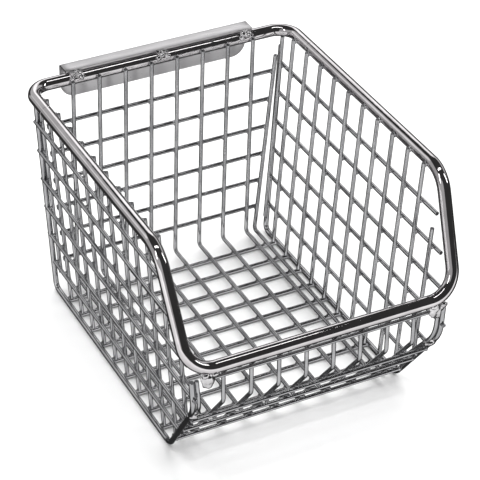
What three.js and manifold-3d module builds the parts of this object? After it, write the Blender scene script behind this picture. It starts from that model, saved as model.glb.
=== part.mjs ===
// Wire mesh hang-and-stack container: a basket of welded steel wires with an open, sloping front, a
// heavy rim wire and a sheet steel hanger along its back.
//
// Millimetres, +Z up, +X to the right, the open front faces -Y. The basket is laid out from the
// centres of its floor wires (z = 0) and from the foot of its back wires (y = 0). At the end the
// group is moved so that the origin is the middle of the underside of its bounding box.

import * as THREE from 'three';
import { mergeVertices } from 'three/addons/utils/BufferGeometryUtils.js';
import Module from 'manifold-3d';

const wasm = await Module();
wasm.setup();

// ---- driving dimensions ----

// wire stock
const MESH_WIRE = 3.0;
const FRAME_WIRE = 4.0;
const RIM_WIRE = 9.0;
const MESH_SIDES = 8;
const RIM_SIDES = 16;
const WELD_GAP = 0.1;
const LAYER = MESH_WIRE + WELD_GAP;
const FRAME_LAYER = (FRAME_WIRE + MESH_WIRE) / 2 + WELD_GAP;
const RIM_LAYER = (RIM_WIRE + MESH_WIRE) / 2 + WELD_GAP;

// mesh pitches
const LONG_PITCH = 20.0;
const LONG_COUNT = 8;
const UPRIGHT_PITCH = 20.5;
const ROW_PITCH = 24.5;
const ROW_COUNT = 6;
const TOP_ROW_Z = 143.9;
const BACK_TOP_ROW_Z = 140.2;
const BACK_ROW_PITCH = 24.1;
const FLOOR_CROSS_COUNT = 9;

// rim
const RIM_Z = 173.0;
const RIM_BACK_Y = -4.6;
const RIM_HALF_WIDTH = 101.5;
const RIM_SEAM_Y = -40.0;
const RIM_SEAM_GAP = 0.2;
const RIM_KNEE_Y = -223.0;
const LIP_Y = -255.0;
const LIP_Z = 96.2;
const LIP_HALF_WIDTH = 97.0;
const RIM_BACK_RADIUS = 15.0;
const RIM_KNEE_RADIUS = 20.0;
const RIM_LIP_RADIUS = 20.0;

// back, floor and front strip
const FRONT_Y = LIP_Y + RIM_LAYER;
const BACK_TOP_Y = RIM_BACK_Y - RIM_LAYER;
const CHAMFER_FOOT_Y = -200.0;
const CHAMFER_TOP_Z = 61.5;
const HEEL_BEND_RADIUS = 3.0;
const LONG_BEND_RADIUS = 8.0;
const PAIR_KNEE_RADIUS = 25.0;
const LONG_BACK_TOP_Z = RIM_Z + 0.5;
const LONG_FRONT_TOP_Z = LIP_Z - 2.0;
const EDGE_FLOOR_X = 77.2;
const EDGE_BACK_X = 89.0;
const EDGE_BACK_TOP_Z = 155.0;
const EDGE_CHAMFER_X = 87.0;
const EDGE_FRONT_X = 88.9;
const EDGE_FRONT_TOP_Z = 84.0;
const CHAMFER_CROSS_RUNS = [57.0, 33.5, 10.0];
const LIP_WIRE_HALF_LENGTH = 86.0;
const LIP_WIRE_Z = 85.3;

// side panels
const SIDE_TOP_X = RIM_HALF_WIDTH - RIM_LAYER;
const SIDE_FLOOR_X = 83.7;
const SIDE_TAPER = (SIDE_TOP_X - SIDE_FLOOR_X) / RIM_Z;
const SIDE_LEAN = 5.4;
const FIRST_UPRIGHT_Y = -19.8;
const FULL_UPRIGHT_COUNT = 10;
const UPRIGHT_TOP_Z = RIM_Z + 0.5;
const UPRIGHT_FOOT_Z = -1.4;
const CORNER_UPRIGHT_Y = -3.4;
const CORNER_UPRIGHT_FOOT_Z = 12.0;
const STUB_UPRIGHT_TOP_Z = 134.4;
const FRAME_REAR_Y = CORNER_UPRIGHT_Y + FRAME_LAYER + WELD_GAP;
const FRAME_REAR_TOP_Z = 159.0;
const FRAME_REAR_LAYER = 1.6;
const FRAME_HEEL_RADIUS = 5.0;
const FRAME_TOE_RADIUS = 12.0;
const FRAME_KNEE_X = 91.2;
const FRAME_KNEE_Z = 61.0;
const FRAME_FRONT_X = EDGE_FRONT_X + FRAME_LAYER;
const FRAME_FRONT_TOP_Z = 84.0;
const ROW_REAR_Y = 2.8;
const RIM_CLEARANCE = 0.4;
const THIRD_ROW_FRONT_Y = -245.0;
const ROW_OVERHANG = 2.0;
const CROSS_OVERHANG = 1.3;
const CROSS_REACH = FRAME_LAYER - FRAME_WIRE / 2 - WELD_GAP;

// hanger
const HANGER_HALF_WIDTH = 72.5;
const HANGER_SHEET = 1.6;
const HANGER_BACK_Y = 8.6;
const HANGER_TOP_Z = RIM_Z + RIM_WIRE / 2 + WELD_GAP + HANGER_SHEET;
const HANGER_HEIGHT = 27.5;
const HANGER_BEND_RADIUS = 3.0;
const HANGER_CORNER_RADIUS = 11.0;

// ---- materials ----

const chrome = () => new THREE.MeshStandardMaterial({ color: 0xb4b7ba, roughness: 0.16, metalness: 1 });
const darkChrome = () => new THREE.MeshStandardMaterial({ color: 0x9a9da1, roughness: 0.12, metalness: 1 });
const satinChrome = () => new THREE.MeshStandardMaterial({ color: 0xc9cbcc, roughness: 0.35, metalness: 1 });

// ---- bent wires ----

const at = (x, y, z) => new THREE.Vector3(x, y, z);

// A wire's centre line as a list of stations, each a point and a tangent. Straight runs have a station
// at each end and bends have as many as they need, so the stations aren't evenly spaced.
class WirePath extends THREE.Curve {
  constructor(stations) {
    super();
    this.stations = stations;
  }

  station(u) {
    return this.stations[Math.round(u * (this.stations.length - 1))];
  }

  getPoint(t) {
    return this.station(t).point.clone();
  }

  getPointAt(u) {
    return this.getPoint(u);
  }

  getSpacedPoints() {
    return this.stations.map((station) => station.point.clone());
  }

  getTangent(t) {
    return this.station(t).tangent.clone();
  }

  getTangentAt(u) {
    return this.getTangent(u);
  }
}

// The stations of one round bend between two straight runs, as an arc tangent to both.
function bendStations(before, corner, after, radius, stepAngle) {
  const inward = corner.clone().sub(before).normalize();
  const outward = after.clone().sub(corner).normalize();
  const turn = inward.angleTo(outward);
  const setback = radius * Math.tan(turn / 2);
  const start = corner.clone().addScaledVector(inward, -setback);
  const toCentre = outward.clone().addScaledVector(inward, -outward.dot(inward)).normalize();
  const steps = Math.max(2, Math.ceil(turn / stepAngle));
  const stations = [];
  for (let i = 0; i <= steps; i += 1) {
    const angle = (turn * i) / steps;
    const point = start
      .clone()
      .addScaledVector(inward, radius * Math.sin(angle))
      .addScaledVector(toCentre, radius * (1 - Math.cos(angle)));
    const tangent = inward
      .clone()
      .multiplyScalar(Math.cos(angle))
      .addScaledVector(toCentre, Math.sin(angle));
    stations.push({ point, tangent });
  }
  return stations;
}

// A round wire through corner points, with the given bend radius at each inner one.
function wireGeometry(points, radii, diameter = MESH_WIRE, sides = MESH_SIDES, stepAngle = Math.PI / 9) {
  const last = points.length - 1;
  const direction = (a, b) => b.clone().sub(a).normalize();
  const stations = [{ point: points[0], tangent: direction(points[0], points[1]) }];
  for (let i = 1; i < last; i += 1) {
    stations.push(...bendStations(points[i - 1], points[i], points[i + 1], radii[i - 1], stepAngle));
  }
  stations.push({ point: points[last], tangent: direction(points[last - 1], points[last]) });

  const section = new THREE.Shape();
  for (let i = 0; i < sides; i += 1) {
    const angle = ((i + 0.5) / sides) * 2 * Math.PI;
    const x = (diameter / 2) * Math.cos(angle);
    const y = (diameter / 2) * Math.sin(angle);
    if (i === 0) section.moveTo(x, y);
    else section.lineTo(x, y);
  }
  section.closePath();
  return new THREE.ExtrudeGeometry(section, {
    steps: stations.length - 1,
    extrudePath: new WirePath(stations),
    curveSegments: 1,
  });
}

// ---- booleans ----

function toManifold(geometry) {
  const bare = geometry.clone();
  bare.deleteAttribute('normal');
  bare.deleteAttribute('uv');
  const merged = mergeVertices(bare, 1e-4);
  return new wasm.Manifold(
    new wasm.Mesh({
      numProp: 3,
      vertProperties: new Float32Array(merged.attributes.position.array),
      triVerts: new Uint32Array(merged.index.array),
    }),
  );
}

function fromManifold(solid) {
  const mesh = solid.getMesh();
  const geometry = new THREE.BufferGeometry();
  geometry.setAttribute('position', new THREE.BufferAttribute(mesh.vertProperties, 3));
  geometry.setIndex(new THREE.BufferAttribute(mesh.triVerts, 1));
  geometry.computeVertexNormals();
  return geometry;
}

// ---- assembly ----

const group = new THREE.Group();

function add(name, geometry, material) {
  const mesh = new THREE.Mesh(geometry, material);
  mesh.name = name;
  group.add(mesh);
}

const chamferSlope = CHAMFER_TOP_Z / (CHAMFER_FOOT_Y - FRONT_Y);
const chamferAngle = Math.atan(chamferSlope);
const chamferZ = (y) => (CHAMFER_FOOT_Y - y) * chamferSlope;
const backY = (z) => (BACK_TOP_Y * z) / RIM_Z;
const leanY = (y, z) => y - (SIDE_LEAN * z) / RIM_Z;
const sideX = (z, layer = 0) => SIDE_FLOOR_X + SIDE_TAPER * z + layer;
const frameToeStart = {
  x: sideX(-LAYER, FRAME_LAYER),
  y: CHAMFER_FOOT_Y - LAYER * Math.tan(chamferAngle / 2),
  z: -LAYER,
};
const frameToeShare = (z) => (z - frameToeStart.z) / (FRAME_KNEE_Z - frameToeStart.z);
const frameToeX = (z) => frameToeStart.x + (FRAME_KNEE_X - frameToeStart.x) * frameToeShare(z);
const frameToeY = (z) => frameToeStart.y + (FRONT_Y - frameToeStart.y) * frameToeShare(z);
const rowZ = (row) => TOP_ROW_Z - row * ROW_PITCH;
const backRowZ = (row) => BACK_TOP_ROW_Z - row * BACK_ROW_PITCH;
const number = (i) => String(i + 1).padStart(2, '0');

function buildRim() {
  const seam = RIM_SEAM_Y;
  const rear = wireGeometry(
    [
      at(-RIM_HALF_WIDTH, seam + RIM_SEAM_GAP, RIM_Z),
      at(-RIM_HALF_WIDTH, RIM_BACK_Y, RIM_Z),
      at(RIM_HALF_WIDTH, RIM_BACK_Y, RIM_Z),
      at(RIM_HALF_WIDTH, seam + RIM_SEAM_GAP, RIM_Z),
    ],
    [RIM_BACK_RADIUS, RIM_BACK_RADIUS],
    RIM_WIRE,
    RIM_SIDES,
  );
  const front = wireGeometry(
    [
      at(-RIM_HALF_WIDTH, seam, RIM_Z),
      at(-RIM_HALF_WIDTH, RIM_KNEE_Y, RIM_Z),
      at(-LIP_HALF_WIDTH, LIP_Y, LIP_Z),
      at(LIP_HALF_WIDTH, LIP_Y, LIP_Z),
      at(RIM_HALF_WIDTH, RIM_KNEE_Y, RIM_Z),
      at(RIM_HALF_WIDTH, seam, RIM_Z),
    ],
    [RIM_KNEE_RADIUS, RIM_LIP_RADIUS, RIM_LIP_RADIUS, RIM_KNEE_RADIUS],
    RIM_WIRE,
    RIM_SIDES,
  );
  add('rim_rear_section', rear, darkChrome());
  add('rim_front_section', front, darkChrome());
}

// The lip wire runs below the rim, across the front of the lengthwise wires.
function buildLipWire() {
  add('front_lip_wire', crossWire(LIP_WIRE_HALF_LENGTH, FRONT_Y - LAYER, LIP_WIRE_Z), chrome());
}

// Each lengthwise wire runs down the back, along the floor, up the sloping toe and up to the lip.
function lengthwiseWire(backX, floorX, toeX, frontX, backTopZ, frontTopZ, kneeRadius) {
  const backTop = at(backX, backY(backTopZ), backTopZ);
  const heel = at(floorX, 0, 0);
  const toe = at(floorX, CHAMFER_FOOT_Y, 0);
  const knee = at(toeX, FRONT_Y, CHAMFER_TOP_Z);
  const frontTop = at(frontX, FRONT_Y, frontTopZ);
  return wireGeometry([backTop, heel, toe, knee, frontTop], [HEEL_BEND_RADIUS, LONG_BEND_RADIUS, kneeRadius]);
}

function buildStrip() {
  for (let i = 0; i < LONG_COUNT; i += 1) {
    const x = (i - (LONG_COUNT - 1) / 2) * LONG_PITCH;
    const wire = lengthwiseWire(x, x, x, x, LONG_BACK_TOP_Z, LONG_FRONT_TOP_Z, LONG_BEND_RADIUS);
    add(`lengthwise_wire_${number(i)}`, wire, chrome());
  }
  for (const [side, sign] of [['left', -1], ['right', 1]]) {
    const wire = lengthwiseWire(
      sign * EDGE_BACK_X,
      sign * EDGE_FLOOR_X,
      sign * EDGE_CHAMFER_X,
      sign * EDGE_FRONT_X,
      EDGE_BACK_TOP_Z,
      EDGE_FRONT_TOP_Z,
      PAIR_KNEE_RADIUS,
    );
    add(`edge_wire_${side}`, wire, chrome());
  }
}

function crossWire(halfLength, y, z) {
  return wireGeometry([at(-halfLength, y, z), at(halfLength, y, z)], []);
}

function buildCrossWires() {
  for (let row = 0; row < ROW_COUNT; row += 1) {
    const z = backRowZ(row);
    const edgeX = EDGE_FLOOR_X + ((EDGE_BACK_X - EDGE_FLOOR_X) * z) / EDGE_BACK_TOP_Z;
    add(`back_cross_wire_${number(row)}`, crossWire(edgeX + CROSS_OVERHANG, backY(z) + LAYER, z), chrome());
  }
  for (let i = 0; i < FLOOR_CROSS_COUNT; i += 1) {
    const y = FIRST_UPRIGHT_Y - i * UPRIGHT_PITCH;
    const wire = crossWire(sideX(-LAYER, CROSS_REACH), y, -LAYER);
    add(`floor_cross_wire_${number(i)}`, wire, chrome());
  }
  CHAMFER_CROSS_RUNS.forEach((run, i) => {
    const y = CHAMFER_FOOT_Y - run * Math.cos(chamferAngle);
    const z = run * Math.sin(chamferAngle);
    const outY = y - LAYER * Math.sin(chamferAngle);
    const outZ = z - LAYER * Math.cos(chamferAngle);
    const halfLength = frameToeX(outZ) - FRAME_WIRE / 2 - WELD_GAP;
    add(`toe_cross_wire_${number(i)}`, crossWire(halfLength, outY, outZ), chrome());
  });
}

// Where the level rows of a side panel end at the front: at the sloping rim, at the front of the
// panel's frame, or at its sloping toe.
function rowFrontY(row) {
  const z = rowZ(row);
  if (row < 2) {
    const slope = (RIM_KNEE_Y - LIP_Y) / (RIM_Z - LIP_Z);
    const reach = (RIM_LAYER + RIM_CLEARANCE) * Math.sqrt(1 + slope ** 2);
    return LIP_Y + slope * (z - LIP_Z) + reach;
  }
  if (row === 2) return THIRD_ROW_FRONT_Y;
  if (z > CHAMFER_TOP_Z) return FRONT_Y - FRAME_WIRE / 2 - ROW_OVERHANG;
  return frameToeY(z);
}

// A side panel's frame is one heavier bent wire round its rear, foot, toe and front, with the six level
// rows welded across it.
function sideFrame(sign) {
  const onSide = (y, z, layer) => at(sign * sideX(z, layer), y, z);
  const outline = wireGeometry(
    [
      onSide(leanY(FRAME_REAR_Y, FRAME_REAR_TOP_Z), FRAME_REAR_TOP_Z, FRAME_REAR_LAYER),
      onSide(leanY(FRAME_REAR_Y, -LAYER), -LAYER, FRAME_LAYER),
      onSide(frameToeStart.y, frameToeStart.z, FRAME_LAYER),
      at(sign * FRAME_KNEE_X, FRONT_Y, FRAME_KNEE_Z),
      at(sign * FRAME_FRONT_X, FRONT_Y, FRAME_FRONT_TOP_Z),
    ],
    [FRAME_HEEL_RADIUS, FRAME_TOE_RADIUS, PAIR_KNEE_RADIUS],
    FRAME_WIRE,
  );
  let solid = toManifold(outline);
  for (let row = 0; row < ROW_COUNT; row += 1) {
    const z = rowZ(row);
    const points = [onSide(leanY(ROW_REAR_Y, z), z, LAYER), onSide(rowFrontY(row), z, LAYER)];
    const level = wireGeometry(points, []);
    solid = solid.add(toManifold(level));
  }
  return fromManifold(solid);
}

function upright(sign, y, footZ, topZ) {
  const end = (z) => at(sign * sideX(z), leanY(y, z), z);
  return wireGeometry([end(footZ), end(topZ)], []);
}

function buildSides() {
  for (const [side, sign] of [['left', -1], ['right', 1]]) {
    add(`side_frame_${side}`, sideFrame(sign), chrome());
    const cornerTopZ = RIM_Z - RIM_WIRE / 2 - WELD_GAP;
    const corner = upright(sign, CORNER_UPRIGHT_Y, CORNER_UPRIGHT_FOOT_Z, cornerTopZ);
    add(`corner_upright_${side}`, corner, chrome());
    for (let i = 0; i < FULL_UPRIGHT_COUNT; i += 1) {
      const y = FIRST_UPRIGHT_Y - i * UPRIGHT_PITCH;
      const footZ = y < CHAMFER_FOOT_Y ? chamferZ(y) : UPRIGHT_FOOT_Z;
      add(`side_upright_${side}_${number(i)}`, upright(sign, y, footZ, UPRIGHT_TOP_Z), chrome());
    }
    const stubY = FIRST_UPRIGHT_Y - FULL_UPRIGHT_COUNT * UPRIGHT_PITCH;
    const stub = upright(sign, stubY, chamferZ(stubY), STUB_UPRIGHT_TOP_Z);
    add(`stub_upright_${side}`, stub, chrome());
  }
}

// The hanger is a sheet folded over the rim: a level flange on top of it and a leaf that hangs down
// behind it, with round lower corners.
function buildHanger() {
  const bottomZ = HANGER_TOP_Z - HANGER_HEIGHT;
  const r = HANGER_BEND_RADIUS;
  const profile = new THREE.Shape();
  profile.moveTo(RIM_BACK_Y, HANGER_TOP_Z);
  profile.lineTo(RIM_BACK_Y, HANGER_TOP_Z - HANGER_SHEET);
  profile.lineTo(HANGER_BACK_Y - r, HANGER_TOP_Z - HANGER_SHEET);
  profile.absarc(HANGER_BACK_Y - r, HANGER_TOP_Z - r, r - HANGER_SHEET, Math.PI / 2, 0, true);
  profile.lineTo(HANGER_BACK_Y - HANGER_SHEET, bottomZ);
  profile.lineTo(HANGER_BACK_Y, bottomZ);
  profile.lineTo(HANGER_BACK_Y, HANGER_TOP_Z - r);
  profile.absarc(HANGER_BACK_Y - r, HANGER_TOP_Z - r, r, 0, Math.PI / 2, false);
  profile.closePath();
  const folded = new THREE.ExtrudeGeometry(profile, {
    depth: 2 * HANGER_HALF_WIDTH,
    bevelEnabled: false,
    curveSegments: 6,
  });
  // the profile's x and y become the part's y and z, and its depth becomes x
  folded.applyMatrix4(new THREE.Matrix4().makeBasis(at(0, 1, 0), at(0, 0, 1), at(1, 0, 0)));
  folded.translate(-HANGER_HALF_WIDTH, 0, 0);

  const w = HANGER_HALF_WIDTH;
  const c = HANGER_CORNER_RADIUS;
  const aboveZ = HANGER_TOP_Z + HANGER_SHEET;
  const outline = new THREE.Shape();
  outline.moveTo(-w, aboveZ);
  outline.lineTo(-w, bottomZ + c);
  outline.absarc(-w + c, bottomZ + c, c, Math.PI, 1.5 * Math.PI, false);
  outline.lineTo(w - c, bottomZ);
  outline.absarc(w - c, bottomZ + c, c, 1.5 * Math.PI, 2 * Math.PI, false);
  outline.lineTo(w, aboveZ);
  outline.closePath();
  const reachY = 2 * HANGER_BACK_Y;
  const block = new THREE.ExtrudeGeometry(outline, {
    depth: 2 * reachY,
    bevelEnabled: false,
    curveSegments: 8,
  });
  // the outline's y becomes the part's z, and its depth runs towards the front
  block.applyMatrix4(new THREE.Matrix4().makeBasis(at(1, 0, 0), at(0, 0, 1), at(0, -1, 0)));
  block.translate(0, reachY, 0);
  add('hanger_bracket', fromManifold(toManifold(folded).intersect(toManifold(block))), satinChrome());
}

buildRim();
buildLipWire();
buildStrip();
buildCrossWires();
buildSides();
buildHanger();

// origin: the middle of the underside
const box = new THREE.Box3().setFromObject(group);
group.position.set(0, -(box.min.y + box.max.y) / 2, -box.min.z);

export default group;
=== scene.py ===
import math

import bmesh
import bpy
from mathutils import Matrix, Vector, noise


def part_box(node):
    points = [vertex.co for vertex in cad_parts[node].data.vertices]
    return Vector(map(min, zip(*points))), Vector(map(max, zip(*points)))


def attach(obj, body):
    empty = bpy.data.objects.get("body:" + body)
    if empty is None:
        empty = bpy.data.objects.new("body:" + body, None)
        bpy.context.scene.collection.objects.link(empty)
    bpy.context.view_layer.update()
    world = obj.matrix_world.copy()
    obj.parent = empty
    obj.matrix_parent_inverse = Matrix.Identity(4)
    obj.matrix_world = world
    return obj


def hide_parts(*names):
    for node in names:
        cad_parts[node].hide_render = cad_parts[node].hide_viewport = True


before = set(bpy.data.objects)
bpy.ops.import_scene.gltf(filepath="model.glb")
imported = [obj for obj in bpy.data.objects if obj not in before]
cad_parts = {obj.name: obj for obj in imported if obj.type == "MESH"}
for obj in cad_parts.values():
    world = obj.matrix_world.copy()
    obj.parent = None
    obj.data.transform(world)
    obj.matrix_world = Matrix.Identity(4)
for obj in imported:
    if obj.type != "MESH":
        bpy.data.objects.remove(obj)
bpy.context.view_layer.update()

# Wire mesh hang-and-stack container in bright chrome. Every wire is rebuilt round, with its bends,
# cut ends and welds. Lengths are in millimetres in the basket's own coordinates, which start at the
# centres of the floor wires (z = 0) and at the foot of the back wires (y = 0); place() turns them
# into the frame's metres.

MM = 0.001

# wire stock
MESH_WIRE = 3.0
FRAME_WIRE = 4.0
RIM_WIRE = 9.0
WELD_GAP = 0.1
LAYER = MESH_WIRE + WELD_GAP
FRAME_LAYER = (FRAME_WIRE + MESH_WIRE) / 2 + WELD_GAP
RIM_LAYER = (RIM_WIRE + MESH_WIRE) / 2 + WELD_GAP

# mesh pitches
LONG_PITCH = 20.0
LONG_COUNT = 8
UPRIGHT_PITCH = 20.5
ROW_PITCH = 24.5
ROW_COUNT = 6
TOP_ROW_Z = 143.9
BACK_TOP_ROW_Z = 140.2
BACK_ROW_PITCH = 24.1
FLOOR_CROSS_COUNT = 9

# rim
RIM_Z = 173.0
RIM_BACK_Y = -4.6
RIM_HALF_WIDTH = 101.5
RIM_SEAM_Y = -40.0
RIM_KNEE_Y = -223.0
LIP_Y = -255.0
LIP_Z = 96.2
LIP_HALF_WIDTH = 97.0
RIM_BACK_RADIUS = 15.0
RIM_KNEE_RADIUS = 20.0
RIM_LIP_RADIUS = 20.0

# back, floor and front strip
FRONT_Y = LIP_Y + RIM_LAYER
BACK_TOP_Y = RIM_BACK_Y - RIM_LAYER
CHAMFER_FOOT_Y = -200.0
CHAMFER_TOP_Z = 61.5
HEEL_BEND_RADIUS = 3.0
LONG_BEND_RADIUS = 8.0
PAIR_KNEE_RADIUS = 25.0
LONG_BACK_TOP_Z = RIM_Z + 0.5
LONG_FRONT_TOP_Z = LIP_Z - 2.0
EDGE_FLOOR_X = 77.2
EDGE_BACK_X = 89.0
EDGE_BACK_TOP_Z = 155.0
EDGE_CHAMFER_X = 87.0
EDGE_FRONT_X = 88.9
EDGE_FRONT_TOP_Z = 84.0
CHAMFER_CROSS_RUNS = (57.0, 33.5, 10.0)
LIP_WIRE_HALF_LENGTH = 86.0
LIP_WIRE_Z = 85.3

# side panels
SIDE_TOP_X = RIM_HALF_WIDTH - RIM_LAYER
SIDE_FLOOR_X = 83.7
SIDE_TAPER = (SIDE_TOP_X - SIDE_FLOOR_X) / RIM_Z
SIDE_LEAN = 5.4
FIRST_UPRIGHT_Y = -19.8
FULL_UPRIGHT_COUNT = 10
UPRIGHT_TOP_Z = RIM_Z + 0.5
UPRIGHT_FOOT_Z = -1.4
CORNER_UPRIGHT_Y = -3.4
CORNER_UPRIGHT_FOOT_Z = 12.0
STUB_UPRIGHT_TOP_Z = 134.4
FRAME_REAR_Y = CORNER_UPRIGHT_Y + FRAME_LAYER + WELD_GAP
FRAME_REAR_TOP_Z = 159.0
FRAME_REAR_LAYER = 1.6
FRAME_HEEL_RADIUS = 5.0
FRAME_TOE_RADIUS = 12.0
FRAME_KNEE_X = 91.2
FRAME_KNEE_Z = 61.0
FRAME_FRONT_X = EDGE_FRONT_X + FRAME_LAYER
FRAME_FRONT_TOP_Z = 84.0
ROW_REAR_Y = 2.8
RIM_CLEARANCE = 0.4
THIRD_ROW_FRONT_Y = -245.0
ROW_OVERHANG = 2.0
CROSS_OVERHANG = 1.3
CROSS_REACH = FRAME_LAYER - FRAME_WIRE / 2 - WELD_GAP

# hanger
HANGER_HALF_WIDTH = 72.5
HANGER_SHEET = 1.6
HANGER_BACK_Y = 8.6
HANGER_TOP_Z = RIM_Z + RIM_WIRE / 2 + WELD_GAP + HANGER_SHEET
HANGER_HEIGHT = 27.5
HANGER_BEND_RADIUS = 3.0
HANGER_CORNER_RADIUS = 11.0

# facets
MESH_SIDES = 20
RIM_SIDES = 40
BEND_STEP = math.radians(5)

# the bevel round a cut end, in mm on a 3 mm wire and in proportion on others
MESH_END_BEVEL = 0.16
RIM_END_BEVEL = 0.05

hanger_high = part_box("hanger_bracket")[1]
ORIGIN = Vector((0, hanger_high.y / MM - HANGER_BACK_Y, hanger_high.z / MM - HANGER_TOP_Z))

CHAMFER_SLOPE = CHAMFER_TOP_Z / (CHAMFER_FOOT_Y - FRONT_Y)
CHAMFER_ANGLE = math.atan(CHAMFER_SLOPE)
SIDES = (("left", -1), ("right", 1))
X_AXIS = Vector((1, 0, 0))
Y_AXIS = Vector((0, 1, 0))
Z_AXIS = Vector((0, 0, 1))


def place(x, y, z):
    """A point of the basket, in the frame's metres."""
    return (Vector((x, y, z)) + ORIGIN) * MM


def chamfer_z(y):
    """The height of the sloping toe's wires at a depth."""
    return (CHAMFER_FOOT_Y - y) * CHAMFER_SLOPE


def back_y(z):
    """The back leans forward from its foot to the rim."""
    return BACK_TOP_Y * z / RIM_Z


def lean_y(y, z):
    """The uprights and the rear of the side panels lean forward like the back."""
    return y - SIDE_LEAN * z / RIM_Z


def side_x(z, layer=0.0):
    """How far out a side panel is at a height, at its uprights or a layer outside them."""
    return SIDE_FLOOR_X + SIDE_TAPER * z + layer


FRAME_TOE_START = (side_x(-LAYER, FRAME_LAYER), CHAMFER_FOOT_Y - LAYER * math.tan(CHAMFER_ANGLE / 2), -LAYER)


def frame_toe(z):
    """(x, y) of the side frame's centre at a height on its sloping toe."""
    x, y, start_z = FRAME_TOE_START
    share = (z - start_z) / (FRAME_KNEE_Z - start_z)
    return x + (FRAME_KNEE_X - x) * share, y + (FRONT_Y - y) * share


def row_z(row):
    return TOP_ROW_Z - row * ROW_PITCH


def back_row_z(row):
    return BACK_TOP_ROW_Z - row * BACK_ROW_PITCH


# ---- materials ----


class Nodes:
    """Short hand for building a material's node tree."""

    def __init__(self, name):
        self.material = bpy.data.materials.new(name)
        self.material.use_nodes = True
        self.tree = self.material.node_tree
        self.tree.nodes.clear()
        self.shader = self.add("ShaderNodeBsdfPrincipled")
        output = self.add("ShaderNodeOutputMaterial")
        self.link(self.shader.outputs["BSDF"], output.inputs["Surface"])
        self.where = self.add("ShaderNodeTexCoord").outputs["Object"]

    def add(self, kind, **settings):
        node = self.tree.nodes.new(kind)
        for key, value in settings.items():
            setattr(node, key, value)
        return node

    def link(self, source, target):
        self.tree.links.new(source, target)

    def noise(self, scale, detail=2.0, roughness=0.5):
        node = self.add("ShaderNodeTexNoise")
        node.inputs["Scale"].default_value = scale
        node.inputs["Detail"].default_value = detail
        node.inputs["Roughness"].default_value = roughness
        self.link(self.where, node.inputs["Vector"])
        return node.outputs["Fac"]

    def ramp(self, source, *stops):
        node = self.add("ShaderNodeValToRGB")
        elements = node.color_ramp.elements
        while len(elements) < len(stops):
            elements.new(0.5)
        for element, (position, value) in zip(elements, stops):
            element.position = position
            colour = value if isinstance(value, tuple) else (value,) * 3
            element.color = (*colour, 1.0)
        self.link(source, node.inputs["Fac"])
        return node.outputs["Color"]

    def bump(self, layers):
        normal = None
        for source, strength, distance in layers:
            node = self.add("ShaderNodeBump")
            node.inputs["Strength"].default_value = strength
            node.inputs["Distance"].default_value = distance
            self.link(source, node.inputs["Height"])
            if normal is not None:
                self.link(normal, node.inputs["Normal"])
            normal = node.outputs["Normal"]
        self.link(normal, self.shader.inputs["Normal"])


def chrome(name, dark, light, rough_low, rough_high, ripple):
    """Plated steel: its tone and gloss drift along the wire and the plating is faintly rippled."""
    m = Nodes(name)
    m.shader.inputs["Metallic"].default_value = 1.0
    drift = m.noise(55.0, 3.0)
    m.link(m.ramp(drift, (0.36, dark), (0.64, light)), m.shader.inputs["Base Color"])
    gloss = m.noise(240.0, 4.0, 0.6)
    m.link(m.ramp(gloss, (0.35, rough_low), (0.7, rough_high)), m.shader.inputs["Roughness"])
    m.bump([(m.noise(120.0, 1.0), ripple, 0.0006), (m.noise(1800.0, 2.0), ripple * 0.5, 0.00004)])
    return m.material


def satin_chrome(name):
    """Plated sheet: softer gloss, with the rolling grain of the sheet along its length."""
    m = Nodes(name)
    m.shader.inputs["Metallic"].default_value = 1.0
    stretch = m.add("ShaderNodeMapping")
    stretch.inputs["Scale"].default_value = (0.08, 1.0, 1.0)
    m.link(m.where, stretch.inputs["Vector"])
    m.where = stretch.outputs["Vector"]
    grain = m.noise(900.0, 4.0, 0.6)
    cloud = m.noise(60.0, 2.0)
    m.link(m.ramp(cloud, (0.3, (0.50, 0.49, 0.50)), (0.7, (0.60, 0.59, 0.60))), m.shader.inputs["Base Color"])
    m.link(m.ramp(grain, (0.3, 0.26), (0.7, 0.40)), m.shader.inputs["Roughness"])
    m.bump([(grain, 0.15, 0.00005), (cloud, 0.1, 0.0005)])
    return m.material


def cut_steel(name):
    """The sheared end of a plated wire: rough, darker and torn."""
    m = Nodes(name)
    m.shader.inputs["Metallic"].default_value = 1.0
    torn = m.noise(1500.0, 4.0, 0.7)
    m.link(m.ramp(torn, (0.3, (0.10, 0.10, 0.11)), (0.7, (0.34, 0.34, 0.35))), m.shader.inputs["Base Color"])
    m.link(m.ramp(torn, (0.3, 0.35), (0.7, 0.6)), m.shader.inputs["Roughness"])
    m.bump([(torn, 0.5, 0.0002)])
    return m.material


def floor_paint(name):
    m = Nodes(name)
    mottle = m.noise(3.0, 2.0)
    m.link(m.ramp(mottle, (0.3, 0.90), (0.7, 0.92)), m.shader.inputs["Base Color"])
    m.shader.inputs["Roughness"].default_value = 0.6
    m.shader.inputs["Specular IOR Level"].default_value = 0.2
    return m.material


# The mesh wires' plating has a darker base colour than the rim's, though both are the same plated steel. This
# is painted shade standing in for the dark room that the thin wires reflect. Its drift along the wire is the
# plating's own uneven tone.
SHADED_MESH_CHROME = chrome("mesh_chrome", (0.35, 0.35, 0.36), (0.47, 0.47, 0.48), 0.06, 0.15, 0.25)
RIM_CHROME = chrome("rim_chrome", (0.52, 0.50, 0.51), (0.62, 0.60, 0.61), 0.03, 0.08, 0.12)
WELD_CHROME = chrome("weld_chrome", (0.22, 0.22, 0.23), (0.50, 0.50, 0.51), 0.08, 0.26, 0.6)
# The weld saddles have a lighter base colour than the other weld beads. This is painted light standing in for
# the pale reflections they show. Their drift is the weld metal's own uneven tone.
SADDLE_CHROME_PAINTED_LIGHT = chrome("saddle_chrome_painted_light", (0.50, 0.49, 0.50), (0.66, 0.65, 0.66), 0.12, 0.26, 0.9)
HANGER_CHROME = satin_chrome("hanger_satin_chrome")
CUT_STEEL = cut_steel("cut_wire_end")


# ---- wires ----


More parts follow.
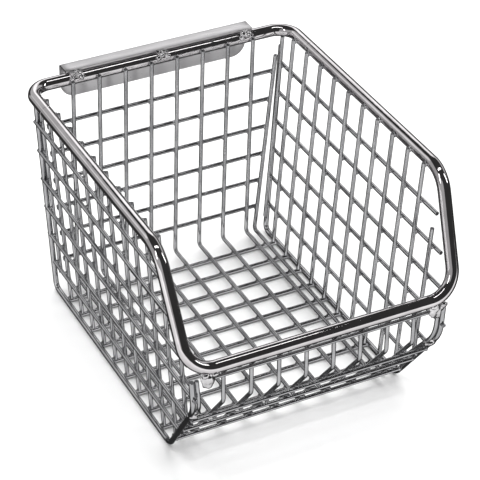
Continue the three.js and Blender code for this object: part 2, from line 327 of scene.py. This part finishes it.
def bend_stations(before, corner, after, radius):
    """One round bend between two straight runs, as (point, tangent) pairs along an arc."""
    inward = (corner - before).normalized()
    outward = (after - corner).normalized()
    turn = inward.angle(outward)
    start = corner - inward * radius * math.tan(turn / 2)
    to_centre = (outward - inward * outward.dot(inward)).normalized()
    steps = max(3, math.ceil(turn / BEND_STEP))
    stations = []
    for i in range(steps + 1):
        a = turn * i / steps
        point = start + (inward * math.sin(a) + to_centre * (1 - math.cos(a))) * radius
        stations.append((point, inward * math.cos(a) + to_centre * math.sin(a)))
    return stations


def centre_line(points, radii):
    """A wire's centre line through corner points, with a bend radius at each inner one."""
    stations = [(points[0], (points[1] - points[0]).normalized())]
    for i, radius in enumerate(radii):
        stations += bend_stations(points[i], points[i + 1], points[i + 2], radius * MM)
    stations.append((points[-1], (points[-1] - points[-2]).normalized()))
    return stations


def ring_frames(stations):
    """A pair of axes across the wire at each station, carried along without twist."""
    tangent = stations[0][1]
    side = tangent.orthogonal().normalized()
    frames = []
    for _, tangent in stations:
        side = (side - tangent * side.dot(tangent)).normalized()
        frames.append((side, tangent.cross(side)))
    return frames


def add_tube(bm, stations, diameter, sides, bevel=MESH_END_BEVEL):
    """A round wire along its stations, its cut ends broken by a small bevel."""
    radius = diameter * MM / 2
    edge = bevel * diameter / MESH_WIRE * MM
    frames = ring_frames(stations)
    first, last = stations[0], stations[-1]
    rings = [(first[0], frames[0], radius - edge), (first[0] + first[1] * edge, frames[0], radius)]
    rings += [(p, f, radius) for (p, _), f in zip(stations[1:-1], frames[1:-1])]
    rings += [(last[0] - last[1] * edge, frames[-1], radius), (last[0], frames[-1], radius - edge)]
    loops = []
    for point, (u, v), r in rings:
        loop = []
        for k in range(sides):
            a = 2 * math.pi * k / sides
            loop.append(bm.verts.new(point + (u * math.cos(a) + v * math.sin(a)) * r))
        loops.append(loop)
    for a, b in zip(loops, loops[1:]):
        for k in range(sides):
            n = (k + 1) % sides
            face = bm.faces.new((a[k], a[n], b[n], b[k]))
            face.smooth = True
    for loop in (loops[0][::-1], loops[-1]):
        cap = bm.faces.new(loop)
        cap.material_index = 1
    for loop in (loops[0], loops[1], loops[-2], loops[-1]):
        for k in range(sides):
            bm.edges.get((loop[k], loop[(k + 1) % sides])).smooth = False


def finish_piece(bm, name, materials, nodes=()):
    """Makes a mesh object from bm, rides it on the frame and lets it stand for its CAD nodes."""
    mesh = bpy.data.meshes.new(name)
    bm.normal_update()
    bm.to_mesh(mesh)
    bm.free()
    for material in materials:
        mesh.materials.append(material)
    piece = bpy.data.objects.new(name, mesh)
    bpy.context.scene.collection.objects.link(piece)
    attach(piece, "root")
    if nodes:
        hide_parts(*nodes)
    return piece


def mesh_wire(name, points, radii=(), node=None, diameter=MESH_WIRE):
    bm = bmesh.new()
    add_tube(bm, centre_line(points, radii), diameter, MESH_SIDES)
    finish_piece(bm, name, (SHADED_MESH_CHROME, CUT_STEEL), (node,) if node else ())


# ---- welds ----


# half sizes of the beads, in the order of the axes they are laid on
CROSS_BEAD = (2.2, 2.2, 1.1)
BUTT_BEAD = (1.1, 2.1, 1.9)
RIM_BEAD = (1.7, 2.4, 1.2)
HANGER_SADDLE = (4.4, 3.4, 2.6)
HANGER_TOE = (2.2, 1.9, 2.0)
LIP_SADDLE = (5.2, 6.8, 3.0)
LIP_TOE = (2.6, 2.0, 1.5)
PAIR_SADDLE = (4.4, 3.4, 2.6)
ON_FLOOR = (X_AXIS, Y_AXIS, Z_AXIS)
ON_BACK = (X_AXIS, Z_AXIS, Y_AXIS)
ON_SIDE = (Y_AXIS, Z_AXIS, X_AXIS)

# where the welds that aren't at a crossing are
FOOT_SHARE = 0.45
HANGER_WELD_X = 66.0
HANGER_TOE_STEP = 3.6
LIP_WELD_X = 83.5
LIP_TOE_STEP = 3.4
PAIR_WELD_RUN = 67.0
PAIR_WELD_LAYER = 1.0

# how far each lump is from the rim, the lip wire or the middle between them, as (y, z)
HANGER_SADDLE_SHIFT = (-2.0, RIM_WIRE / 2 - 0.6)
HANGER_TOE_SHIFT = (-3.9, 2.0)
LIP_SADDLE_SHIFT = (-2.0, -3.0)
LIP_TOE_SHIFT = (1.0 - RIM_WIRE / 2, -2.6)
RIM_BEAD_DROP = 0.5
LIP_BEAD_DROP = 1.0

# each bead is uneven in its own way; these numbers start each group
FLOOR_SEED = 100
TOE_SEED = 300
SIDE_SEED = 500
RIM_SEED = 700
HANGER_SEED = 900
HANGER_TOE_SEED = 910
LIP_SEED = 930
LIP_TOE_SEED = 940
PAIR_SEED = 960

# how uneven a bead is, as a share of its size, and how fine its mesh is
BEAD_LUMPS = 0.07
HANGER_LUMPS = 0.35
FRONT_LUMPS = 0.3
BEAD_DETAIL = 2
TOE_DETAIL = 3
SADDLE_DETAIL = 4
NOISE_SCALE = 1.7


def add_bead(bm, centre, axes, radii, seed, lumps=BEAD_LUMPS, detail=BEAD_DETAIL):
    """A small uneven lump of weld metal, with one half size along each axis."""
    turn = Matrix([a.normalized() for a in axes]).transposed()
    elsewhere = Vector((seed * 3.1, seed * 1.7, seed))
    made = bmesh.ops.create_icosphere(bm, subdivisions=detail, radius=1.0)
    for vert in made["verts"]:
        wobble = 1 + lumps * noise.noise(vert.co * NOISE_SCALE + elsewhere)
        local = Vector([c * r * MM * wobble for c, r in zip(vert.co, radii)])
        vert.co = centre + turn @ local
    for vert in made["verts"]:
        for face in vert.link_faces:
            face.smooth = True


def lengthwise_x():
    return [(i - (LONG_COUNT - 1) / 2) * LONG_PITCH for i in range(LONG_COUNT)]


def edge_x_back(z):
    return EDGE_FLOOR_X + (EDGE_BACK_X - EDGE_FLOOR_X) * z / EDGE_BACK_TOP_Z


def chamfer_point(run, layer=0.0):
    """(y, z) at a distance up the sloping toe and a distance outside it."""
    y = CHAMFER_FOOT_Y - run * math.cos(CHAMFER_ANGLE) - layer * math.sin(CHAMFER_ANGLE)
    z = run * math.sin(CHAMFER_ANGLE) - layer * math.cos(CHAMFER_ANGLE)
    return y, z


CHAMFER_LENGTH = math.hypot(CHAMFER_TOP_Z, CHAMFER_FOOT_Y - FRONT_Y)


def edge_x_chamfer(run):
    return EDGE_FLOOR_X + (EDGE_CHAMFER_X - EDGE_FLOOR_X) * run / CHAMFER_LENGTH


def weld_back():
    """A bead at every crossing of the back."""
    bm = bmesh.new()
    seed = 0
    for row in range(ROW_COUNT):
        z = back_row_z(row)
        edge = edge_x_back(z)
        for x in [-edge, *lengthwise_x(), edge]:
            seed += 1
            add_bead(bm, place(x, back_y(z) + LAYER / 2, z), ON_BACK, CROSS_BEAD, seed)
    finish_piece(bm, "welds_back", (WELD_CHROME,))


def weld_floor():
    """A bead at every crossing of the floor, and one at each end of its cross wires."""
    bm = bmesh.new()
    seed = FLOOR_SEED
    end_x = side_x(-LAYER, CROSS_REACH)
    for i in range(FLOOR_CROSS_COUNT):
        y = FIRST_UPRIGHT_Y - i * UPRIGHT_PITCH
        for x in [-EDGE_FLOOR_X, *lengthwise_x(), EDGE_FLOOR_X]:
            seed += 1
            add_bead(bm, place(x, y, -LAYER / 2), ON_FLOOR, CROSS_BEAD, seed)
        for x in (-end_x, end_x):
            seed += 1
            add_bead(bm, place(x, y, -LAYER), ON_FLOOR, BUTT_BEAD, seed)
    finish_piece(bm, "welds_floor", (WELD_CHROME,))


def weld_toe():
    """The same on the sloping toe, and a bead wherever the lip wire crosses a lengthwise wire."""
    bm = bmesh.new()
    seed = TOE_SEED
    along = Vector((0, -math.cos(CHAMFER_ANGLE), math.sin(CHAMFER_ANGLE)))
    out = Vector((0, -math.sin(CHAMFER_ANGLE), -math.cos(CHAMFER_ANGLE)))
    for run in CHAMFER_CROSS_RUNS:
        y, z = chamfer_point(run, LAYER / 2)
        edge = edge_x_chamfer(run)
        for x in [-edge, *lengthwise_x(), edge]:
            seed += 1
            add_bead(bm, place(x, y, z), (X_AXIS, along, out), CROSS_BEAD, seed)
        y, z = chamfer_point(run, LAYER)
        end_x = frame_toe(z)[0] - FRAME_WIRE / 2 - WELD_GAP
        for x in (-end_x, end_x):
            seed += 1
            add_bead(bm, place(x, y, z), (X_AXIS, along, out), BUTT_BEAD, seed)
    for x in lengthwise_x():
        seed += 1
        add_bead(bm, place(x, FRONT_Y - LAYER / 2, LIP_WIRE_Z), ON_BACK, CROSS_BEAD, seed)
    finish_piece(bm, "welds_toe", (WELD_CHROME,))


def upright_ys():
    return [FIRST_UPRIGHT_Y - i * UPRIGHT_PITCH for i in range(FULL_UPRIGHT_COUNT + 1)]


def row_front_y(row):
    """Where the level rows of a side end: at the sloping rim, the frame's front or its toe."""
    z = row_z(row)
    if row < 2:
        slope = (RIM_KNEE_Y - LIP_Y) / (RIM_Z - LIP_Z)
        reach = (RIM_LAYER + RIM_CLEARANCE) * math.hypot(1, slope)
        return LIP_Y + slope * (z - LIP_Z) + reach
    if row == 2:
        return THIRD_ROW_FRONT_Y
    if z > CHAMFER_TOP_Z:
        return FRONT_Y - FRAME_WIRE / 2 - ROW_OVERHANG
    return frame_toe(z)[1]


def weld_side(side, sign):
    """A bead where each upright crosses a level wire, and one at its foot on the outline wire."""
    bm = bmesh.new()
    seed = SIDE_SEED
    for row in range(ROW_COUNT):
        z = row_z(row)
        for y in [CORNER_UPRIGHT_Y, *upright_ys()]:
            stub = y < upright_ys()[-2] - 1
            crossing = lean_y(y, z)
            if crossing < row_front_y(row) or (stub and z > STUB_UPRIGHT_TOP_Z):
                continue
            seed += 1
            bead = place(sign * side_x(z, LAYER / 2), crossing, z)
            add_bead(bm, bead, ON_SIDE, CROSS_BEAD, seed)
    for y in upright_ys():
        foot = UPRIGHT_FOOT_Z if y > CHAMFER_FOOT_Y else chamfer_z(y)
        z = foot - (LAYER + UPRIGHT_FOOT_Z) * FOOT_SHARE
        seed += 1
        bead = place(sign * side_x(z, FRAME_LAYER * FOOT_SHARE), lean_y(y, z), z)
        add_bead(bm, bead, ON_SIDE, CROSS_BEAD, seed)
    finish_piece(bm, f"welds_side_{side}", (WELD_CHROME,))


def weld_rim():
    """The uprights and the back and front wires are each welded to the inside of the rim."""
    bm = bmesh.new()
    seed = RIM_SEED
    inside = RIM_WIRE / 2 + WELD_GAP / 2
    for x in lengthwise_x():
        seed += 2
        add_bead(bm, place(x, RIM_BACK_Y - inside, RIM_Z - RIM_BEAD_DROP), ON_BACK, RIM_BEAD, seed)
        add_bead(bm, place(x, LIP_Y + inside, LIP_Z - LIP_BEAD_DROP), ON_BACK, RIM_BEAD, seed + 1)
    for _, sign in SIDES:
        for y in upright_ys()[:-1]:
            seed += 1
            x = sign * (RIM_HALF_WIDTH - inside)
            bead = place(x, lean_y(y, RIM_Z), RIM_Z - RIM_BEAD_DROP)
            add_bead(bm, bead, ON_SIDE, RIM_BEAD, seed)
    finish_piece(bm, "welds_rim", (WELD_CHROME,))


def weld_saddles():
    """Saddles of weld metal: the hanger's flange to the rim, and the lip wire to the rim."""
    bm = bmesh.new()
    for i, x in enumerate((-HANGER_WELD_X, 0.0, HANGER_WELD_X)):
        seat = place(x, RIM_BACK_Y + HANGER_SADDLE_SHIFT[0], RIM_Z + HANGER_SADDLE_SHIFT[1])
        add_bead(bm, seat, ON_FLOOR, HANGER_SADDLE, HANGER_SEED + i, HANGER_LUMPS, SADDLE_DETAIL)
        for j, step in enumerate((-HANGER_TOE_STEP, HANGER_TOE_STEP)):
            toe = place(x + step, RIM_BACK_Y + HANGER_TOE_SHIFT[0], RIM_Z + HANGER_TOE_SHIFT[1])
            add_bead(bm, toe, ON_FLOOR, HANGER_TOE, HANGER_TOE_SEED + 2 * i + j, HANGER_LUMPS, TOE_DETAIL)
    finish_piece(bm, "hanger_weld_saddles", (SADDLE_CHROME_PAINTED_LIGHT,))
    bm = bmesh.new()
    web_y = FRONT_Y - LAYER + LIP_SADDLE_SHIFT[0]
    web_z = (LIP_WIRE_Z + LIP_Z) / 2 + LIP_SADDLE_SHIFT[1]
    for i, (_, sign) in enumerate(SIDES):
        x = sign * LIP_WELD_X
        add_bead(bm, place(x, web_y, web_z), ON_BACK, LIP_SADDLE, LIP_SEED + i, FRONT_LUMPS, SADDLE_DETAIL)
        for j, step in enumerate((-LIP_TOE_STEP, LIP_TOE_STEP)):
            toe = place(x + step, LIP_Y + LIP_TOE_SHIFT[0], LIP_Z + LIP_TOE_SHIFT[1])
            add_bead(bm, toe, ON_BACK, LIP_TOE, LIP_TOE_SEED + 2 * i + j, FRONT_LUMPS, TOE_DETAIL)
    finish_piece(bm, "lip_weld_saddles", (SADDLE_CHROME_PAINTED_LIGHT,))


def weld_front_pairs():
    """Low on the front, each edge wire and the outline wire beside it are run together."""
    bm = bmesh.new()
    for i, (_, sign) in enumerate(SIDES):
        y, z = chamfer_point(PAIR_WELD_RUN, PAIR_WELD_LAYER)
        x = (edge_x_chamfer(PAIR_WELD_RUN) + frame_toe(z)[0]) / 2
        add_bead(bm, place(sign * x, y, z), ON_BACK, PAIR_SADDLE, PAIR_SEED + i, FRONT_LUMPS, SADDLE_DETAIL)
    finish_piece(bm, "front_pair_welds", (SADDLE_CHROME_PAINTED_LIGHT,))


# ---- rim ----


def build_rim():
    """Two bent lengths that meet at a seam on each side."""
    seam = RIM_SEAM_Y
    rear = [
        place(-RIM_HALF_WIDTH, seam, RIM_Z),
        place(-RIM_HALF_WIDTH, RIM_BACK_Y, RIM_Z),
        place(RIM_HALF_WIDTH, RIM_BACK_Y, RIM_Z),
        place(RIM_HALF_WIDTH, seam, RIM_Z),
    ]
    front = [
        place(-RIM_HALF_WIDTH, seam, RIM_Z),
        place(-RIM_HALF_WIDTH, RIM_KNEE_Y, RIM_Z),
        place(-LIP_HALF_WIDTH, LIP_Y, LIP_Z),
        place(LIP_HALF_WIDTH, LIP_Y, LIP_Z),
        place(RIM_HALF_WIDTH, RIM_KNEE_Y, RIM_Z),
        place(RIM_HALF_WIDTH, seam, RIM_Z),
    ]
    sections = (
        ("rim_rear_section", rear, (RIM_BACK_RADIUS,) * 2),
        ("rim_front_section", front, (RIM_KNEE_RADIUS, RIM_LIP_RADIUS, RIM_LIP_RADIUS, RIM_KNEE_RADIUS)),
    )
    for node, points, radii in sections:
        bm = bmesh.new()
        add_tube(bm, centre_line(points, radii), RIM_WIRE, RIM_SIDES, RIM_END_BEVEL)
        finish_piece(bm, f"round_{node}", (RIM_CHROME, CUT_STEEL), (node,))


# ---- mesh ----


def build_strip():
    """The lengthwise wires: down the back, along the floor, up the sloping toe and the front."""
    for i, x in enumerate(lengthwise_x()):
        points = [
            place(x, back_y(LONG_BACK_TOP_Z), LONG_BACK_TOP_Z),
            place(x, 0, 0),
            place(x, CHAMFER_FOOT_Y, 0),
            place(x, FRONT_Y, CHAMFER_TOP_Z),
            place(x, FRONT_Y, LONG_FRONT_TOP_Z),
        ]
        node = f"lengthwise_wire_{i + 1:02d}"
        mesh_wire(f"round_{node}", points, (HEEL_BEND_RADIUS, LONG_BEND_RADIUS, LONG_BEND_RADIUS), node)
    for side, sign in SIDES:
        points = [
            place(sign * EDGE_BACK_X, back_y(EDGE_BACK_TOP_Z), EDGE_BACK_TOP_Z),
            place(sign * EDGE_FLOOR_X, 0, 0),
            place(sign * EDGE_FLOOR_X, CHAMFER_FOOT_Y, 0),
            place(sign * EDGE_CHAMFER_X, FRONT_Y, CHAMFER_TOP_Z),
            place(sign * EDGE_FRONT_X, FRONT_Y, EDGE_FRONT_TOP_Z),
        ]
        node = f"edge_wire_{side}"
        mesh_wire(f"round_{node}", points, (HEEL_BEND_RADIUS, LONG_BEND_RADIUS, PAIR_KNEE_RADIUS), node)


def cross_wire(node, half_length, y, z):
    mesh_wire(f"round_{node}", [place(-half_length, y, z), place(half_length, y, z)], (), node)


def build_cross_wires():
    for row in range(ROW_COUNT):
        z = back_row_z(row)
        cross_wire(f"back_cross_wire_{row + 1:02d}", edge_x_back(z) + CROSS_OVERHANG, back_y(z) + LAYER, z)
    for i in range(FLOOR_CROSS_COUNT):
        y = FIRST_UPRIGHT_Y - i * UPRIGHT_PITCH
        cross_wire(f"floor_cross_wire_{i + 1:02d}", side_x(-LAYER, CROSS_REACH), y, -LAYER)
    for i, run in enumerate(CHAMFER_CROSS_RUNS):
        y, z = chamfer_point(run, LAYER)
        half_length = frame_toe(z)[0] - FRAME_WIRE / 2 - WELD_GAP
        cross_wire(f"toe_cross_wire_{i + 1:02d}", half_length, y, z)
    cross_wire("front_lip_wire", LIP_WIRE_HALF_LENGTH, FRONT_Y - LAYER, LIP_WIRE_Z)


def build_side(side, sign):
    """A side panel: its bent outline wire, its level wires and its uprights."""

    def on_side(y, z, layer=0.0):
        return place(sign * side_x(z, layer), y, z)

    node = f"side_frame_{side}"
    outline = [
        on_side(lean_y(FRAME_REAR_Y, FRAME_REAR_TOP_Z), FRAME_REAR_TOP_Z, FRAME_REAR_LAYER),
        on_side(lean_y(FRAME_REAR_Y, -LAYER), -LAYER, FRAME_LAYER),
        on_side(FRAME_TOE_START[1], FRAME_TOE_START[2], FRAME_LAYER),
        place(sign * FRAME_KNEE_X, FRONT_Y, FRAME_KNEE_Z),
        place(sign * FRAME_FRONT_X, FRONT_Y, FRAME_FRONT_TOP_Z),
    ]
    radii = (FRAME_HEEL_RADIUS, FRAME_TOE_RADIUS, PAIR_KNEE_RADIUS)
    mesh_wire(f"round_outline_wire_{side}", outline, radii, node, FRAME_WIRE)
    for row in range(ROW_COUNT):
        z = row_z(row)
        points = [on_side(lean_y(ROW_REAR_Y, z), z, LAYER), on_side(row_front_y(row), z, LAYER)]
        mesh_wire(f"round_level_wire_{side}_{row + 1:02d}", points, (), node)

    def upright(name, y, foot, top):
        points = [on_side(lean_y(y, z), z) for z in (foot, top)]
        mesh_wire(f"round_{name}", points, (), name)

    corner_top = RIM_Z - RIM_WIRE / 2 - WELD_GAP
    upright(f"corner_upright_{side}", CORNER_UPRIGHT_Y, CORNER_UPRIGHT_FOOT_Z, corner_top)
    *full, stub = upright_ys()
    for i, y in enumerate(full):
        foot = UPRIGHT_FOOT_Z if y > CHAMFER_FOOT_Y else chamfer_z(y)
        upright(f"side_upright_{side}_{i + 1:02d}", y, foot, UPRIGHT_TOP_Z)
    upright(f"stub_upright_{side}", stub, chamfer_z(stub), STUB_UPRIGHT_TOP_Z)


# ---- hanger ----


FOLD_STEPS = 10
CORNER_STEPS = 12
HANGER_COLUMNS = 24
HANGER_EDGE = 0.3
HANGER_EDGE_ANGLE = math.radians(50)


def hanger_profile():
    """The middle of the sheet from the flange's front edge to the leaf's lower edge, as (y, z)."""
    half = HANGER_SHEET / 2
    top = HANGER_TOP_Z - half
    back = HANGER_BACK_Y - half
    radius = HANGER_BEND_RADIUS - half
    points = [(RIM_BACK_Y, top), ((RIM_BACK_Y + back - radius) / 2, top)]
    for i in range(FOLD_STEPS + 1):
        a = math.pi / 2 * i / FOLD_STEPS
        points.append((back - radius + radius * math.sin(a), top - radius + radius * math.cos(a)))
    return points


def build_hanger():
    """One folded sheet: a grid along the fold whose lowest rows narrow round the leaf's corners."""
    profile = hanger_profile()
    bottom = HANGER_TOP_Z - HANGER_HEIGHT
    back = profile[-1][0]
    corner_start = bottom + HANGER_CORNER_RADIUS
    rows = [(y, z, HANGER_HALF_WIDTH) for y, z in profile]
    rows.append((back, (profile[-1][1] + corner_start) / 2, HANGER_HALF_WIDTH))
    for i in range(CORNER_STEPS + 1):
        a = math.pi / 2 * i / CORNER_STEPS
        z = corner_start - HANGER_CORNER_RADIUS * math.sin(a)
        rows.append((back, z, HANGER_HALF_WIDTH - HANGER_CORNER_RADIUS * (1 - math.cos(a))))
    bm = bmesh.new()
    across = [2 * k / HANGER_COLUMNS - 1 for k in range(HANGER_COLUMNS + 1)]
    grid = [[bm.verts.new(place(width * share, y, z)) for share in across] for y, z, width in rows]
    for a, b in zip(grid, grid[1:]):
        for k in range(HANGER_COLUMNS):
            face = bm.faces.new((a[k], b[k], b[k + 1], a[k + 1]))
            face.smooth = True
    piece = finish_piece(bm, "folded_hanger", (HANGER_CHROME,), ("hanger_bracket",))
    solid = piece.modifiers.new("thickness", "SOLIDIFY")
    solid.thickness = HANGER_SHEET * MM
    solid.offset = 0
    soften = piece.modifiers.new("edges", "BEVEL")
    soften.width = HANGER_EDGE * MM
    soften.segments = 2
    soften.limit_method = "ANGLE"
    soften.angle_limit = HANGER_EDGE_ANGLE


# ---- stage ----


FLOOR_REACH = 60.0


def build_floor():
    """A plain pale floor. The metal doesn't reflect it: PANELS stand in for what it would show."""
    bm = bmesh.new()
    bmesh.ops.create_grid(bm, x_segments=2, y_segments=2, size=FLOOR_REACH)
    mesh = bpy.data.meshes.new("floor")
    bm.to_mesh(mesh)
    bm.free()
    mesh.materials.append(floor_paint("pale_floor"))
    floor = bpy.data.objects.new("floor", mesh)
    floor.visible_glossy = False
    bpy.context.scene.collection.objects.link(floor)


# level, towards the side of the basket that the photograph was taken from
STUDIO_FRONT = (-0.443, -0.896, 0.0)
ROOM_TONE = 0.045

# The pale surfaces round the basket. Each is the product of two falloffs, and a falloff is an axis and
# its stops: how far a direction points along the axis, from -1 to 1, and the tone there.
PANELS = (
    (
        (Z_AXIS, ((-1.0, 0.8), (-0.12, 1.4), (-0.04, 0.0))),
        (STUDIO_FRONT, ((0.04, 0.0), (0.20, 1.0))),
    ),
    (
        (Z_AXIS, ((-0.80, 0.0), (-0.72, 0.8), (-0.24, 0.8), (-0.16, 0.0))),
        (STUDIO_FRONT, ((-0.84, 1.0), (-0.74, 0.0))),
    ),
    (
        (Z_AXIS, ((0.24, 0.0), (0.32, 0.6), (0.60, 0.6), (0.64, 0.0))),
        (STUDIO_FRONT, ((-0.32, 1.0), (-0.20, 0.0))),
    ),
    (
        (Z_AXIS, ((-0.20, 0.0), (-0.08, 0.5), (0.60, 0.5), (0.68, 0.0))),
        (X_AXIS, ((-0.52, 1.0), (-0.40, 0.0))),
    ),
)


def build_world():
    """The studio that the metal reflects: a dark room with pale panels round the basket."""
    world = bpy.data.worlds.new("studio")
    bpy.context.scene.world = world
    world.use_nodes = True
    tree = world.node_tree
    tree.nodes.clear()
    where = tree.nodes.new("ShaderNodeTexCoord").outputs["Generated"]

    def math_node(operation, *values):
        node = tree.nodes.new("ShaderNodeMath")
        node.operation = operation
        for socket, value in zip(node.inputs, values):
            if isinstance(value, (int, float)):
                socket.default_value = value
            else:
                tree.links.new(value, socket)
        return node.outputs["Value"]

    def falloff(axis, stops):
        along = tree.nodes.new("ShaderNodeVectorMath")
        along.operation = "DOT_PRODUCT"
        along.inputs[1].default_value = axis
        tree.links.new(where, along.inputs[0])
        ramp = tree.nodes.new("ShaderNodeValToRGB")
        elements = ramp.color_ramp.elements
        while len(elements) < len(stops):
            elements.new(0.5)
        for element, (position, value) in zip(elements, stops):
            element.position = (position + 1) / 2
            element.color = (value, value, value, 1)
        tree.links.new(math_node("MULTIPLY_ADD", along.outputs["Value"], 0.5, 0.5), ramp.inputs["Fac"])
        return ramp.outputs["Color"]

    tone = math_node("ADD", ROOM_TONE, 0.0)
    for one, other in PANELS:
        tone = math_node("ADD", tone, math_node("MULTIPLY", falloff(*one), falloff(*other)))
    background = tree.nodes.new("ShaderNodeBackground")
    tree.links.new(tone, background.inputs["Color"])
    output = tree.nodes.new("ShaderNodeOutputWorld")
    tree.links.new(background.outputs["Background"], output.inputs["Surface"])


LAMP_TARGET = Vector((0, 0, 0.08))
SUN_PLACE = (0.6, 0.5, 2.2)
SUN_STRENGTH = 3.9
SUN_ANGLE = math.radians(100)

# name, place in metres, width and height in metres, watts
REFLECTORS = (
    ("strip_left", (-1.6, -0.6, 1.3), (0.25, 1.0), 5),
    ("strip_right", (1.5, -0.9, 1.2), (0.25, 1.0), 5),
    ("strip_top", (0.0, -0.3, 2.0), (1.6, 0.2), 5),
    ("back_panel", (0.9, 1.8, 1.5), (1.2, 0.9), 3.6),
)


def add_lamp(name, kind, where, energy):
    """A lamp that looks at the middle of the basket."""
    light = bpy.data.lights.new(name, kind)
    light.energy = energy
    lamp = bpy.data.objects.new(name, light)
    lamp.location = where
    lamp.rotation_euler = (LAMP_TARGET - Vector(where)).to_track_quat("-Z", "Y").to_euler()
    bpy.context.scene.collection.objects.link(lamp)
    return lamp


def reflector(name, where, size, power):
    """A lit panel, seen by the metal as a highlight."""
    light = add_lamp(name, "AREA", where, power).data
    light.shape = "RECTANGLE"
    light.size, light.size_y = size


def build_lights():
    """One broad soft lamp lights the stage, and small panels give the metal its highlights."""
    ceiling = add_lamp("soft_ceiling", "SUN", SUN_PLACE, SUN_STRENGTH)
    ceiling.data.angle = SUN_ANGLE
    ceiling.visible_glossy = False
    for panel in REFLECTORS:
        reflector(*panel)


# fitted to the photograph, in degrees and in the basket's own millimetres
CAMERA_AZIMUTH = -26.30
CAMERA_ELEVATION = 34.36
CAMERA_POSITION = (-530.2, -1204.0, 911.2)
CAMERA_LENS = 158.21
SENSOR_WIDTH = 36.0


def build_camera():
    data = bpy.data.cameras.new("camera")
    data.sensor_width = SENSOR_WIDTH
    data.lens = CAMERA_LENS
    camera = bpy.data.objects.new("camera", data)
    azimuth, elevation = math.radians(CAMERA_AZIMUTH), math.radians(CAMERA_ELEVATION)
    level = math.cos(elevation)
    look = Vector((-math.sin(azimuth) * level, math.cos(azimuth) * level, -math.sin(elevation)))
    camera.location = place(*CAMERA_POSITION)
    camera.rotation_euler = look.to_track_quat("-Z", "Y").to_euler()
    bpy.context.scene.collection.objects.link(camera)
    bpy.context.scene.camera = camera


build_rim()
build_strip()
build_cross_wires()
for side_name, side_sign in SIDES:
    build_side(side_name, side_sign)
    weld_side(side_name, side_sign)
weld_back()
weld_floor()
weld_toe()
weld_rim()
weld_saddles()
weld_front_pairs()
build_hanger()
build_floor()
build_world()
build_lights()
build_camera()
bpy.context.scene.view_settings.view_transform = "Standard"
